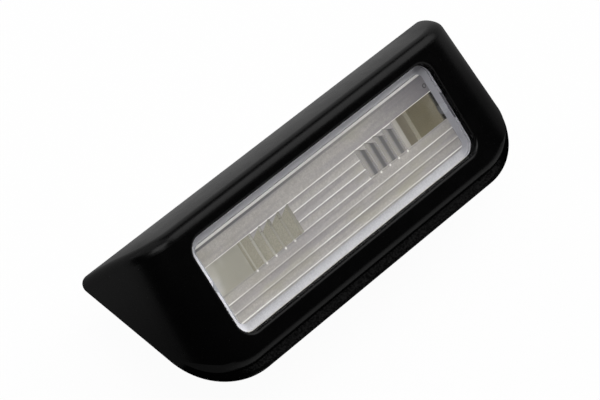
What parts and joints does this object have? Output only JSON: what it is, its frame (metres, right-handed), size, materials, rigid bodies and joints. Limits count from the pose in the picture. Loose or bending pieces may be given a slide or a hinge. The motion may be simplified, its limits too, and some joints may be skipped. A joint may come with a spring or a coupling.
{
  "type": "number plate lamp",
  "caption": "Wedge-shaped number plate lamp: black moulded housing with a clear fluted lens over a bulb tray that snaps into a panel cut-out",
  "frame": {"origin": "middle of the mounting plate, on the back of the panel gasket, which lies on the panel", "axes": "X along the lamp, Y up the mounting plate towards the tall side of the wedge, Z out of the panel"},
  "size_m": [0.1024, 0.0368, 0.0337],
  "materials": {
    "housing": "black satin",
    "lens": "clear",
    "seal": "soft matt",
    "tray": "pale satin",
    "bulb_glass": "clear",
    "filament": "grey wire",
    "bulb_cap": "nickel plated",
    "contact": "rolled strip",
    "rivet": "dull",
    "clip": "spring steel"
  },
  "bodies": {
    "root": {"housing": "housing", "lens": "lens", "lens_seal": "seal", "bulb_tray": "tray", "panel_gasket": "seal", "bulb_glass": "bulb_glass", "bulb_filament": "filament", "bulb_cap_right": "bulb_cap", "bulb_cap_left": "bulb_cap", "contact_right": "contact", "contact_left": "contact", "contact_rivets": "rivet", "spring_clip_right": "clip", "spring_clip_left": "clip"}
  },
  "joints": []
}
